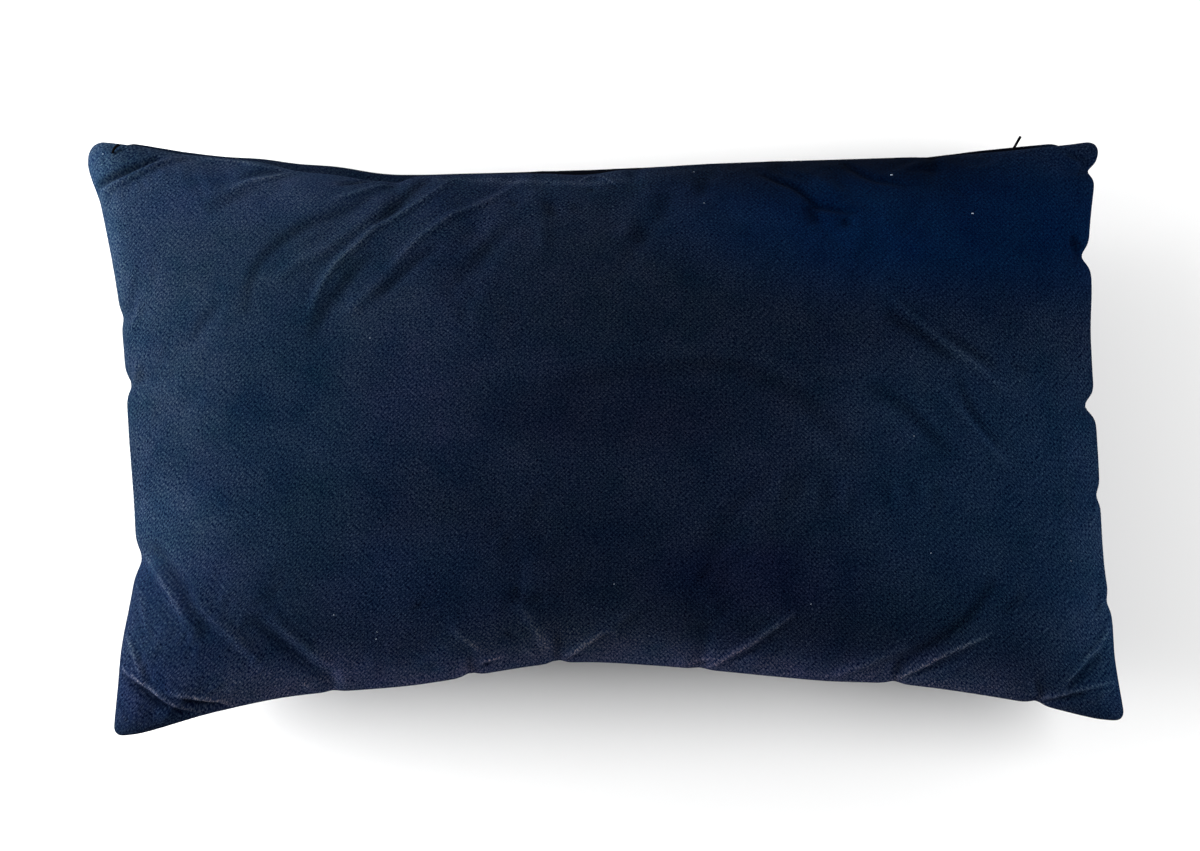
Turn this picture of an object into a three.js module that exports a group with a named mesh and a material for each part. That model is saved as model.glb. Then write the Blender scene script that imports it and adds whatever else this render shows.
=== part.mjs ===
import * as THREE from 'three';

// A filled rectangular cushion that lies on its back, with its front face up.
// Two velvet panels of one cut meet in a seam all round. The filling crowns both panels and draws
// the seam in between the corners, and the four corners stay thin, as ears that droop a little.
// Units are millimetres, with +Z up, +X to the right and +Y towards the side that holds the closing.
// The origin is on the floor, under the middle of the cushion.

// Driving sizes of the filled cushion
const LENGTH = 598;
const WIDTH = 346;
const FRONT_CROWN = 80;
const BACK_CROWN = 64;
const SEAM_HEIGHT = 57;
const EAR_DROOP = 19;

// How full each panel is: higher powers give a wider flat middle, a low edge roll a steeper side
const FULLNESS_ALONG = 2.7;
const FULLNESS_ACROSS = 2.2;
const EDGE_ROLL = 0.62;

// How quickly the droop of an ear fades along the long and the short sides
const DROOP_FADE_ALONG = 9;
const DROOP_FADE_ACROSS = 5;

// Cells of the front panel; the back panel has half as many each way
const CELLS_ALONG = 90;
const CELLS_ACROSS = 50;
const EDGE_CLUSTERING = 0.35;
const LEAST_THICKNESS = 3;

// The ears: how far each corner stands in from the bounding rectangle, and how round its tip is
const EARS = {
  topLeft: { inX: 0, inY: 0.5, radius: 11 },
  topRight: { inX: 9, inY: 0, radius: 9 },
  bottomRight: { inX: 0, inY: 9, radius: 6 },
  bottomLeft: { inX: 20, inY: 0, radius: 6 },
};

// How far the seam is drawn in from the straight line between two corners.
// `at` is the share of the side, from left to right or from bottom to top.
const DRAWN_IN = {
  top: [
    { at: 0, by: 0 },
    { at: 0.06, by: 4.5 },
    { at: 0.14, by: 12 },
    { at: 0.22, by: 16 },
    { at: 0.31, by: 21 },
    { at: 0.5, by: 20.5 },
    { at: 0.61, by: 16.5 },
    { at: 0.81, by: 12.5 },
    { at: 0.89, by: 9 },
    { at: 1, by: 0 },
  ],
  bottom: [
    { at: 0, by: 0 },
    { at: 0.03, by: 2 },
    { at: 0.1, by: 13 },
    { at: 0.18, by: 21.5 },
    { at: 0.3, by: 27 },
    { at: 0.44, by: 38.5 },
    { at: 0.53, by: 37 },
    { at: 0.7, by: 26.5 },
    { at: 0.78, by: 24 },
    { at: 0.9, by: 13 },
    { at: 0.97, by: 2 },
    { at: 1, by: 0 },
  ],
  left: [
    { at: 0, by: 0 },
    { at: 0.08, by: 5.5 },
    { at: 0.14, by: 9 },
    { at: 0.28, by: 19.5 },
    { at: 0.5, by: 19 },
    { at: 0.7, by: 17 },
    { at: 0.88, by: 8 },
    { at: 0.955, by: 0 },
    { at: 1, by: 0 },
  ],
  right: [
    { at: 0, by: 0 },
    { at: 0.1, by: 4.5 },
    { at: 0.3, by: 10.5 },
    { at: 0.55, by: 12.5 },
    { at: 0.8, by: 10.5 },
    { at: 0.93, by: 5 },
    { at: 1, by: 0 },
  ],
};

// Puckers, where the seam gathers: each notches the edge and sinks a short channel into both panels
const PUCKERS = [
  { side: 'top', at: 0.31, notch: 2, width: 9, reach: 26, sink: 5 },
  { side: 'top', at: 0.45, notch: 0, width: 8, reach: 20, sink: 4 },
  { side: 'top', at: 0.54, notch: 0.5, width: 8, reach: 24, sink: 4 },
  { side: 'top', at: 0.68, notch: 0.5, width: 9, reach: 26, sink: 4 },
  { side: 'top', at: 0.83, notch: 2, width: 8, reach: 20, sink: 4 },
  { side: 'bottom', at: 0.22, notch: 1, width: 8, reach: 20, sink: 4 },
  { side: 'bottom', at: 0.355, notch: 2, width: 8, reach: 24, sink: 5 },
  { side: 'bottom', at: 0.44, notch: 2, width: 8, reach: 28, sink: 6 },
  { side: 'bottom', at: 0.58, notch: 1, width: 9, reach: 24, sink: 5 },
  { side: 'bottom', at: 0.77, notch: 1.5, width: 9, reach: 28, sink: 5 },
  { side: 'bottom', at: 0.91, notch: 2, width: 7, reach: 18, sink: 4 },
  { side: 'left', at: 0.295, notch: 3.5, width: 8, reach: 22, sink: 5 },
  { side: 'left', at: 0.6, notch: 3, width: 8, reach: 18, sink: 4 },
  { side: 'left', at: 0.69, notch: 1.5, width: 8, reach: 22, sink: 4 },
  { side: 'right', at: 0.2, notch: 1.5, width: 8, reach: 18, sink: 3 },
  { side: 'right', at: 0.38, notch: 2, width: 8, reach: 18, sink: 4 },
  { side: 'right', at: 0.55, notch: 4, width: 8, reach: 22, sink: 5 },
  { side: 'right', at: 0.79, notch: 4.5, width: 8, reach: 20, sink: 5 },
  { side: 'right', at: 0.945, notch: 4.5, width: 6, reach: 14, sink: 4 },
];

// Slow rises and hollows of the front, where the filling has shifted
const SETTLING = {
  'hollow right of the middle': { x: 78, y: -42, reachX: 78, reachY: 62, rise: -4 },
  'rise above the hollow': { x: 90, y: 50, reachX: 90, reachY: 30, rise: 2 },
  'full low left': { x: -150, y: -60, reachX: 90, reachY: 50, rise: 2.5 },
  'full upper right': { x: 200, y: 90, reachX: 60, reachY: 45, rise: 3 },
  'slack upper left': { x: -150, y: 95, reachX: 80, reachY: 40, rise: -3 },
};

// Folds of the front panel, each a curve from one end through its middle to the other, seen from above.
// `rise` is the height of a ridge, or the depth of a trough where it is below zero, and `width` is
// half its breadth. Its ends keep this share of the rise, and near the seam it fades out.
const FOLDS = {
  'upper left ear valley': { from: [-290, 145], through: [-272, 152], to: [-250, 160], width: 5, rise: -8 },
  'upper left 1st ridge': { from: [-216, 128], through: [-185, 139], to: [-154, 145], width: 6, rise: 4 },
  'upper left 1st trough': { from: [-210, 140], through: [-192, 146], to: [-166, 150], width: 6, rise: -4 },
  'upper left 2nd ridge': { from: [-172, 127], through: [-144, 132], to: [-108, 142], width: 5, rise: 3.5 },
  'long left arc trough': { from: [-114, 137], through: [-174, 103], to: [-196, 58], width: 8, rise: -5 },
  'long left arc ridge': { from: [-106, 131], through: [-158, 98], to: [-184, 66], width: 6, rise: 3 },
  'upper deep trough': { from: [-94, 142], through: [-112, 129], to: [-138, 103], width: 6, rise: -6 },
  'upper long ridge': { from: [-80, 141], through: [-128, 108], to: [-166, 46], width: 6, rise: 5 },
  'upper middle trough': { from: [-118, 97], through: [-146, 72], to: [-163, 38], width: 8, rise: -4 },
  'inner long ridge': { from: [-68, 126], through: [-104, 102], to: [-148, 55], width: 7, rise: 3 },
  'inner trough': { from: [-80, 104], through: [-106, 85], to: [-131, 62], width: 8, rise: -3.5 },
  'top gather left': { from: [-60, 140], through: [-68, 130], to: [-80, 118], width: 6, rise: -3 },
  'top gather middle': { from: [-18, 142], through: [-20, 128], to: [-26, 112], width: 6, rise: -3 },
  'top gather right': { from: [10, 143], through: [14, 130], to: [24, 116], width: 6, rise: -3 },
  'upper right 1st trough': { from: [84, 150], through: [112, 133], to: [144, 116], width: 7, rise: -4.5 },
  'upper right 2nd trough': { from: [130, 150], through: [154, 140], to: [182, 134], width: 6, rise: -4 },
  'upper right far trough': { from: [186, 142], through: [200, 137], to: [216, 132], width: 6, rise: -3 },
  'right ridge': { from: [148, 78], through: [188, 48], to: [224, 14], width: 6, rise: 5 },
  'right trough below': { from: [146, 66], through: [172, 50], to: [200, 26], width: 7, rise: -4.5 },
  'right trough above': { from: [188, 56], through: [206, 42], to: [232, 20], width: 7, rise: -3 },
  'middle arc': { from: [-34, 14], through: [72, 32], to: [150, -30], width: 11, rise: -2.5 },
  'middle right arc': { from: [146, 22], through: [176, -2], to: [196, -36], width: 10, rise: -2.5 },
  'low left outer ridge': { from: [-262, -58], through: [-248, -86], to: [-228, -116], width: 6, rise: 3.5 },
  'low left trough': { from: [-250, -60], through: [-236, -90], to: [-216, -122], width: 8, rise: -5 },
  'low left inner ridge': { from: [-226, -96], through: [-206, -118], to: [-188, -140], width: 6, rise: 4 },
  'low left 2nd trough': { from: [-202, -98], through: [-176, -124], to: [-146, -143], width: 7, rise: -4.5 },
  'low left 2nd ridge': { from: [-190, -98], through: [-166, -120], to: [-136, -139], width: 6, rise: 3.5 },
  'low left ear ridge': { from: [-276, -130], through: [-252, -149], to: [-222, -157], width: 6, rise: 5 },
  'low left ear valley': { from: [-274, -141], through: [-252, -157], to: [-230, -162], width: 5, rise: -6 },
  'bottom 1st ridge': { from: [-88, -108], through: [-73, -121], to: [-56, -134], width: 6, rise: 4 },
  'bottom 2nd ridge': { from: [-46, -96], through: [-40, -112], to: [-33, -128], width: 6, rise: 4 },
  'bottom 3rd ridge': { from: [-22, -129], through: [-6, -121], to: [12, -113], width: 6, rise: 4 },
  'bottom 4th ridge': { from: [54, -136], through: [84, -120], to: [122, -98], width: 6, rise: 4 },
  'low right trough': { from: [154, -138], through: [190, -116], to: [218, -82], width: 8, rise: -5.5 },
  'low right ridge': { from: [156, -143], through: [190, -128], to: [226, -106], width: 6, rise: 4.5 },
  'low right ear trough': { from: [280, -118], through: [268, -132], to: [252, -145], width: 6, rise: -5 },
  'low right ear ridge': { from: [248, -147], through: [270, -140], to: [290, -136], width: 5, rise: 3 },
};
const FOLD_END_SHARE = 0.25;
const FOLD_STEPS = 60;
const FOLD_FADE = 0.05;

// Along the top side the back panel stands out in a roll under the closing, most of all at `fullAt`.
// `out` and `outMore` are how far it is pushed out, and the rest are shares of the panel.
const CLOSING_ROLL = { out: 13, outMore: 7, fullAt: 0.22, spread: 0.12, height: 0.11, endFade: 0.07 };

const bell = (distance, width) => Math.exp(-((distance / width) ** 2));
const ease = THREE.MathUtils.smoothstep;

// A smooth curve through the rows of a drawn-in table, with the mean slope of its neighbours at each row
function drawnIn(side, at) {
  const rows = DRAWN_IN[side];
  const next = Math.max(1, rows.findIndex((row) => row.at >= at));
  const before = rows[next - 1];
  const after = rows[next];
  const share = (at - before.at) / (after.at - before.at);
  const slope = (k) => {
    const low = rows[Math.max(k - 1, 0)];
    const high = rows[Math.min(k + 1, rows.length - 1)];
    return (high.by - low.by) / (high.at - low.at);
  };
  const span = after.at - before.at;
  const rise = after.by - before.by;
  const bendStart = slope(next - 1) * span - rise;
  const bendEnd = rise - slope(next) * span;
  const hump = share * (1 - share);
  return before.by + rise * share + hump * (bendStart * (1 - share) + bendEnd * share);
}

const cornerAt = (ear, signX, signY) => new THREE.Vector2(
  signX * (LENGTH / 2 - EARS[ear].inX),
  signY * (WIDTH / 2 - EARS[ear].inY),
);
const CORNERS = {
  topLeft: cornerAt('topLeft', -1, 1),
  topRight: cornerAt('topRight', 1, 1),
  bottomRight: cornerAt('bottomRight', 1, -1),
  bottomLeft: cornerAt('bottomLeft', -1, -1),
};

// Each side runs from its first corner to its second, and `inward` turns its direction to the inside
const SIDES = {
  top: { first: 'topLeft', second: 'topRight', inward: -1 },
  bottom: { first: 'bottomLeft', second: 'bottomRight', inward: 1 },
  left: { first: 'bottomLeft', second: 'topLeft', inward: -1 },
  right: { first: 'bottomRight', second: 'topRight', inward: 1 },
};

// The tip of a rounded corner stands back from the sharp one by this share of its radius
const TIP_BACK = 1 - Math.SQRT1_2;

// How far the edge falls back at a distance from a corner whose tip has this radius
function tipFall(distance, radius) {
  const short = Math.max(radius - distance, 0);
  return radius - Math.sqrt(radius * radius - short * short);
}

// A point of the seam, seen from above
function seamPoint(side, at) {
  const { first, second, inward } = SIDES[side];
  const along = CORNERS[second].clone().sub(CORNERS[first]);
  const length = along.length();
  along.divideScalar(length);
  const firstTip = TIP_BACK * EARS[first].radius;
  const secondTip = TIP_BACK * EARS[second].radius;
  const travelled = firstTip + at * (length - firstTip - secondTip);
  let offset = drawnIn(side, at);
  offset += tipFall(travelled, EARS[first].radius);
  offset += tipFall(length - travelled, EARS[second].radius);
  for (const pucker of PUCKERS.filter((row) => row.side === side)) {
    offset += pucker.notch * bell((at - pucker.at) * length, pucker.width);
  }
  const across = new THREE.Vector2(-along.y, along.x).multiplyScalar(inward);
  return CORNERS[first].clone().addScaledVector(along, travelled).addScaledVector(across, offset);
}

const TIPS = {
  bottomLeft: seamPoint('bottom', 0),
  bottomRight: seamPoint('bottom', 1),
  topLeft: seamPoint('top', 0),
  topRight: seamPoint('top', 1),
};

// The plan of both panels: the four sides blended across the inside
function planPoint(u, v) {
  const point = new THREE.Vector2();
  point.addScaledVector(seamPoint('bottom', u), 1 - v);
  point.addScaledVector(seamPoint('top', u), v);
  point.addScaledVector(seamPoint('left', v), 1 - u);
  point.addScaledVector(seamPoint('right', v), u);
  point.addScaledVector(TIPS.bottomLeft, -(1 - u) * (1 - v));
  point.addScaledVector(TIPS.bottomRight, -u * (1 - v));
  point.addScaledVector(TIPS.topLeft, -(1 - u) * v);
  point.addScaledVector(TIPS.topRight, -u * v);
  return point;
}

function seamHeight(u, v) {
  const alongShare = Math.abs(2 * u - 1) ** DROOP_FADE_ALONG;
  const acrossShare = Math.abs(2 * v - 1) ** DROOP_FADE_ACROSS;
  return SEAM_HEIGHT - EAR_DROOP * alongShare * acrossShare;
}

// How far the filling lifts a panel, from 0 at the seam to 1 in the middle
function swell(u, v) {
  const along = 1 - Math.abs(2 * u - 1) ** FULLNESS_ALONG;
  const across = 1 - Math.abs(2 * v - 1) ** FULLNESS_ACROSS;
  return (along * across) ** EDGE_ROLL;
}

// How far a point of a panel is from each side, before the seam is drawn in
function fromSeam(u, v) {
  return { top: (1 - v) * WIDTH, bottom: v * WIDTH, left: u * LENGTH, right: (1 - u) * LENGTH };
}

// The channels that the puckers sink into a panel next to the seam
function puckerDepth(u, v) {
  let depth = 0;
  for (const { side, at, width, reach, sink } of PUCKERS) {
    const runsAlong = side === 'top' || side === 'bottom';
    const beside = runsAlong ? (u - at) * LENGTH : (v - at) * WIDTH;
    const inside = fromSeam(u, v)[side] / reach;
    depth += sink * bell(beside, width) * inside * Math.exp((1 - inside ** 2) / 2);
  }
  return depth;
}

// A fold as close points along its curve, each with its own rise
const foldLines = Object.values(FOLDS).map(({ from, through, to, width, rise }) => {
  const curve = new THREE.CatmullRomCurve3([from, through, to].map(([x, y]) => new THREE.Vector3(x, y, 0)));
  const points = curve.getSpacedPoints(FOLD_STEPS).map(({ x, y }, k) => {
    const fullness = Math.sin(Math.PI * k / FOLD_STEPS);
    return { x, y, rise: rise * (FOLD_END_SHARE + (1 - FOLD_END_SHARE) * fullness) };
  });
  return { points, width };
});

// The folds and the slow unevenness of the front panel at a point of the plan
function frontRelief(plan) {
  let relief = 0;
  for (const { points, width } of foldLines) {
    let nearest = Infinity;
    let riseHere = 0;
    for (const { x, y, rise } of points) {
      const distance = Math.hypot(x - plan.x, y - plan.y);
      if (distance < nearest) {
        nearest = distance;
        riseHere = rise;
      }
    }
    relief += riseHere * bell(nearest, width);
  }
  for (const { x, y, reachX, reachY, rise } of Object.values(SETTLING)) {
    relief += rise * bell(plan.x - x, reachX) * bell(plan.y - y, reachY);
  }
  return relief;
}

function frontPoint(u, v) {
  const plan = planPoint(u, v);
  const edge = Math.min(u, v, 1 - u, 1 - v);
  const lift = FRONT_CROWN * swell(u, v) - puckerDepth(u, v);
  const relief = frontRelief(plan) * ease(edge, 0, FOLD_FADE);
  const height = edge > 0 ? Math.max(lift + relief, LEAST_THICKNESS / 2) : 0;
  return new THREE.Vector3(plan.x, plan.y, seamHeight(u, v) + height);
}

function backPoint(u, v) {
  const plan = planPoint(u, v);
  const { out, outMore, fullAt, spread, height, endFade } = CLOSING_ROLL;
  const rollOut = (out + outMore * bell(u - fullAt, spread)) * ease(Math.min(u, 1 - u), 0, endFade);
  plan.y += rollOut * Math.sin(Math.PI * Math.min((1 - v) / height, 1)) ** 2;
  const fall = Math.max(BACK_CROWN * swell(u, v) - puckerDepth(u, v), LEAST_THICKNESS / 2);
  return new THREE.Vector3(plan.x, plan.y, Math.max(seamHeight(u, v) - fall, 0));
}

// The points round a cell of the back panel, in steps of the front panel's grid
const RING = [[0, 0], [1, 0], [2, 0], [2, 1], [2, 2], [1, 2], [0, 2], [0, 1]];

// Places of the grid lines from 0 to 1, closer together near the seam
function gridShare(k, cells) {
  const even = k / cells;
  return (1 - EDGE_CLUSTERING) * even + EDGE_CLUSTERING * (1 - Math.cos(Math.PI * even)) / 2;
}

// Both panels as one closed surface, centred over the floor point under its middle
function cushionGeometry() {
  const vertices = [];
  const triangles = [];
  const place = (i, j) => [gridShare(i, CELLS_ALONG), gridShare(j, CELLS_ACROSS)];
  const add = (point) => vertices.push(point) - 1;
  const triangle = (a, b, c, flip) => triangles.push(...(flip ? [a, c, b] : [a, b, c]));
  const onSeam = (i, j) => i === 0 || j === 0 || i === CELLS_ALONG || j === CELLS_ACROSS;

  // A cell is cut along its shorter diagonal, so that folds stay smooth
  const cell = (a, b, c, d, flip) => {
    if (vertices[a].distanceTo(vertices[c]) < vertices[b].distanceTo(vertices[d])) {
      triangle(a, b, c, flip);
      triangle(a, c, d, flip);
    } else {
      triangle(b, c, d, flip);
      triangle(b, d, a, flip);
    }
  };

  const front = [];
  for (let j = 0; j <= CELLS_ACROSS; j += 1) {
    front.push(Array.from({ length: CELLS_ALONG + 1 }, (_, i) => add(frontPoint(...place(i, j)))));
  }
  for (let j = 0; j < CELLS_ACROSS; j += 1) {
    for (let i = 0; i < CELLS_ALONG; i += 1) {
      cell(front[j][i], front[j][i + 1], front[j + 1][i + 1], front[j + 1][i], false);
    }
  }

  // A cell of the back panel that touches the seam is a fan round its own middle, because the seam
  // has twice as many points as the cell has corners
  const back = new Map();
  const backIndex = (i, j) => {
    if (onSeam(i, j)) return front[j][i];
    const key = `${i},${j}`;
    if (!back.has(key)) back.set(key, add(backPoint(...place(i, j))));
    return back.get(key);
  };
  for (let j = 0; j < CELLS_ACROSS; j += 2) {
    for (let i = 0; i < CELLS_ALONG; i += 2) {
      const ring = RING.map(([right, up]) => [i + right, j + up]);
      const kept = ring.filter(([a, b], k) => k % 2 === 0 || onSeam(a, b)).map(([a, b]) => backIndex(a, b));
      if (kept.length === 4) {
        cell(...kept, true);
      } else {
        const middle = backIndex(i + 1, j + 1);
        kept.forEach((index, k) => triangle(middle, index, kept[(k + 1) % kept.length], true));
      }
    }
  }

  const geometry = new THREE.BufferGeometry().setFromPoints(vertices);
  geometry.setIndex(triangles);
  geometry.computeBoundingBox();
  const middle = geometry.boundingBox.getCenter(new THREE.Vector3());
  geometry.translate(-middle.x, -middle.y, -geometry.boundingBox.min.z);
  geometry.computeVertexNormals();
  return geometry;
}

const velvet = new THREE.MeshStandardMaterial({ color: 0x111d38, roughness: 0.9, metalness: 0 });
const cushion = new THREE.Mesh(cushionGeometry(), velvet);
cushion.name = 'cushion';

const model = new THREE.Group();
model.add(cushion);

export default model;
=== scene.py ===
import math

import bmesh
import bpy
import numpy as np
from mathutils import Matrix, Vector
from mathutils.bvhtree import BVHTree
from mathutils.kdtree import KDTree


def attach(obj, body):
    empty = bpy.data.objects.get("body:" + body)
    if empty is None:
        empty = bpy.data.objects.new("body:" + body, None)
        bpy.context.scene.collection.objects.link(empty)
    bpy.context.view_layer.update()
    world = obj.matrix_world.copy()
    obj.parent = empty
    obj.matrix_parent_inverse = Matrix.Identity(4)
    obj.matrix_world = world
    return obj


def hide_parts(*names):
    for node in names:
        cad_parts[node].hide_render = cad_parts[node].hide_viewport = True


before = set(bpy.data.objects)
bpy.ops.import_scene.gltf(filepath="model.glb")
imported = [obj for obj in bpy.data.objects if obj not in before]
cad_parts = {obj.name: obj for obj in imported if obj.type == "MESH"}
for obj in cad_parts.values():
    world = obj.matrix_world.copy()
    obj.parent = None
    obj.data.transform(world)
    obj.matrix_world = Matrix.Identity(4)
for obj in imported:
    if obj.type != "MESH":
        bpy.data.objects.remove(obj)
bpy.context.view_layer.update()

# The view: a lens held nearly square to the front face, a little to the lower side of the cushion.
# The aim and the distance put the cushion where it lies in the photograph's 1200 by 851 frame.
MM = 0.001
PHOTO_WIDE, PHOTO_HIGH = 1200, 851
VIEW_ELEVATION = math.radians(84)
VIEW_DISTANCE = 1.6
MM_A_PIXEL = 0.57
AIM = Vector((-1.1, 4.8, 57)) * MM
SENSOR = 36


def placed(name, data):
    """A new object in the scene, at the origin."""
    made = bpy.data.objects.new(name, data)
    bpy.context.collection.objects.link(made)
    return made


camera_data = bpy.data.cameras.new("view")
camera_data.sensor_width = SENSOR
camera_data.lens = SENSOR * VIEW_DISTANCE / (MM_A_PIXEL * MM * PHOTO_WIDE)
camera = placed("view", camera_data)
away = Vector((0, -math.cos(VIEW_ELEVATION), math.sin(VIEW_ELEVATION)))
camera.location = AIM + VIEW_DISTANCE * away
camera.rotation_euler = away.to_track_quat("Z", "Y").to_euler()
bpy.context.scene.camera = camera
bpy.context.view_layer.update()

# The filled cover: two panels of short pile velvet, cut 60 by 35 cm, sewn right sides together along
# all four sides, turned and filled with loose fibre. The filling crowns both panels, draws the sides
# in and leaves four flat ears, and where it gives way the velvet lies in soft folds.
LENGTH, WIDTH = 598 * MM, 346 * MM
FRONT_CROWN, BACK_CROWN = 80 * MM, 64 * MM
SEAM_HEIGHT, EAR_DROOP = 57 * MM, 19 * MM
FULLNESS_ALONG, FULLNESS_ACROSS, EDGE_ROLL = 2.7, 2.2, 0.62
DROOP_FADE_ALONG, DROOP_FADE_ACROSS = 9, 5
LEAST_THICKNESS = 3 * MM
NOTCH_REACH = 14 * MM
SEAM_GROOVE, GROOVE_REACH = 1.6 * MM, 1.2 * MM  # the seam lies this far inside the turned edge
CELLS_ALONG, CELLS_ACROSS = 360, 206  # of the front panel; the back has half as many each way
EDGE_CLUSTERING = 0.5
BACK_PANEL_BESIDE = 400 * MM  # in the flat cloth
SEWN_WITHIN = 0.01 * MM

# How far each corner stands in from the bounding rectangle, and how round its tip is, in millimetres
EARS = {
    "top_left": dict(sign=(-1, 1), stands_in=(0, -1.5), radius=12),
    "top_right": dict(sign=(1, 1), stands_in=(8, -2), radius=11),
    "bottom_right": dict(sign=(1, -1), stands_in=(-0.5, 8.5), radius=9),
    "bottom_left": dict(sign=(-1, -1), stands_in=(19, -0.5), radius=9),
}

# Each side runs from one corner to another. `at` is the share of the side, and `drawn_in` how far the
# filling draws the seam in from the straight line there, in millimetres.
SIDES = {
    "top": dict(
        ends=("top_left", "top_right"), inward=-1,
        at=(0, 0.06, 0.14, 0.22, 0.31, 0.5, 0.61, 0.81, 0.89, 0.955, 1),
        drawn_in=(0, 5.6, 13.4, 16.7, 22.3, 22, 18.2, 14.3, 10.5, 5.2, 0),
    ),
    "bottom": dict(
        ends=("bottom_left", "bottom_right"), inward=1,
        at=(0, 0.03, 0.1, 0.18, 0.3, 0.44, 0.53, 0.7, 0.78, 0.9, 0.97, 1),
        drawn_in=(0, 2, 12.5, 21.2, 26.4, 37.4, 35.6, 25.3, 22.5, 11.4, 1.8, 0),
    ),
    "left": dict(
        ends=("bottom_left", "top_left"), inward=-1,
        at=(0, 0.08, 0.14, 0.28, 0.5, 0.7, 0.88, 0.955, 1),
        drawn_in=(0, 5.5, 9, 19.5, 18.6, 16, 6.6, -1.4, -1),
    ),
    "right": dict(
        ends=("bottom_right", "top_right"), inward=1,
        at=(0, 0.1, 0.17, 0.27, 0.45, 0.65, 0.74, 0.82, 0.93, 1),
        drawn_in=(0, 6.4, 8, 11.7, 12.5, 13.7, 11.8, 11.7, 5.4, 0),
    ),
}

# Where the seam gathers: each pucker notches the edge and sinks a short channel into both panels. `at`
# is the share of the side, and the rest is in millimetres.
PUCKERS = {
    "top": (
        dict(at=0.31, notch=2, width=6, reach=11, sink=3),
        dict(at=0.45, notch=0, width=4, reach=9, sink=2),
        dict(at=0.54, notch=0.5, width=4, reach=9, sink=2),
        dict(at=0.68, notch=0.5, width=5, reach=9, sink=2),
        dict(at=0.83, notch=2, width=5, reach=9, sink=2.5),
    ),
    "bottom": (
        dict(at=0.22, notch=1, width=5, reach=9, sink=2),
        dict(at=0.355, notch=2, width=5, reach=9, sink=2.5),
        dict(at=0.44, notch=2, width=5, reach=10, sink=2.5),
        dict(at=0.58, notch=1, width=5, reach=9, sink=2),
        dict(at=0.77, notch=1.5, width=5, reach=9, sink=2.5),
        dict(at=0.91, notch=2, width=5, reach=9, sink=2.5),
    ),
    "left": (
        dict(at=0.288, notch=3.5, width=8, reach=12, sink=3),
        dict(at=0.577, notch=3, width=6, reach=11, sink=2.5),
        dict(at=0.69, notch=1.5, width=5, reach=11, sink=2.5),
    ),
    "right": (
        dict(at=0.2, notch=1.5, width=5, reach=9, sink=2),
        dict(at=0.38, notch=2, width=5, reach=9, sink=2),
        dict(at=0.533, notch=5.5, width=6, reach=11, sink=3),
        dict(at=0.79, notch=4.5, width=6, reach=11, sink=3.5),
        dict(at=0.945, notch=4.5, width=5, reach=9, sink=3),
    ),
}

# Slow rises and hollows of the front, where the filling has shifted, in millimetres
SETTLING = {
    "hollow right of the middle": dict(x=78, y=-42, reach_x=78, reach_y=62, rise=-4),
    "rise above the hollow": dict(x=90, y=50, reach_x=90, reach_y=30, rise=2),
    "full lower left": dict(x=-150, y=-60, reach_x=90, reach_y=50, rise=2.5),
    "full upper right": dict(x=200, y=90, reach_x=60, reach_y=45, rise=3),
    "slack upper left": dict(x=-150, y=95, reach_x=80, reach_y=40, rise=-3),
}

# The back panel rolls out past the top seam and shows as a lip behind the front panel's rim, which is
# set in there. Both are in millimetres at shares of the side.
CLOSING_ROLL = dict(
    at=(
        0, 0.05, 0.13, 0.17, 0.21, 0.25, 0.29, 0.33, 0.37, 0.45,
        0.49, 0.57, 0.69, 0.8, 0.84, 0.88, 0.92, 0.96, 1,
    ),
    out=(
        18, 17.6, 18.3, 19.2, 18.6, 19.3, 18.4, 17.5, 18, 18.8,
        19.5, 18.6, 19, 18.6, 18, 18.9, 18.6, 17.4, 17,
    ),
    height=0.11, end_fade=0.05,
)
RIM = dict(
    at=(0, 0.05, 0.09, 0.13, 0.17, 0.21, 0.25, 0.29, 0.33, 0.37, 0.45, 0.49, 0.53, 1),
    set_in=(0, 1, 2.3, 1.2, 1.8, 6, 6.2, 6.8, 2.8, 1.4, 1.5, 2.8, 0.6, 0.4),
)


def bell(distance, width):
    return np.exp(-((distance / width) ** 2))


def eased(value, low, high):
    share = np.clip((value - low) / (high - low), 0, 1)
    return share * share * (3 - 2 * share)


def from_edge(u, v):
    return np.minimum(np.minimum(u, 1 - u), np.minimum(v, 1 - v))


def corner(name):
    ear = EARS[name]
    half = np.array((LENGTH, WIDTH)) / 2 - np.array(ear["stands_in"]) * MM
    return half * np.array(ear["sign"])


def smooth_rows(at, rows_at, rows):
    """A smooth curve through the rows, with the mean slope of its neighbours at each row."""
    rows_at, rows = np.array(rows_at, float), np.array(rows, float)
    low = np.maximum(np.arange(len(rows)) - 1, 0)
    high = np.minimum(np.arange(len(rows)) + 1, len(rows) - 1)
    slopes = (rows[high] - rows[low]) / (rows_at[high] - rows_at[low])
    k = np.clip(np.searchsorted(rows_at, at) - 1, 0, len(rows) - 2)
    span, rise = rows_at[k + 1] - rows_at[k], rows[k + 1] - rows[k]
    share = (at - rows_at[k]) / span
    start, end = slopes[k] * span - rise, rise - slopes[k + 1] * span
    return rows[k] + rise * share + share * (1 - share) * (start * (1 - share) + end * share)


def tip_fall(distance, radius):
    """How far the edge falls back at a distance from a corner whose tip has this radius."""
    short = np.maximum(radius - distance, 0)
    return radius - np.sqrt(radius**2 - short**2)


def seam_point(side, at):
    """Points of the seam seen from above at shares of a side, and the way in from them."""
    row = SIDES[side]
    first, second = (corner(name) for name in row["ends"])
    length = np.linalg.norm(second - first)
    along = (second - first) / length
    radii = [EARS[name]["radius"] * MM for name in row["ends"]]
    tips = [(1 - math.sqrt(0.5)) * radius for radius in radii]
    travelled = tips[0] + at * (length - sum(tips))
    offset = smooth_rows(at, row["at"], row["drawn_in"]) * MM
    offset += tip_fall(travelled, radii[0]) + tip_fall(length - travelled, radii[1])
    inward = np.array((-along[1], along[0])) * row["inward"]
    return first + travelled[..., None] * along + offset[..., None] * inward, inward


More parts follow.
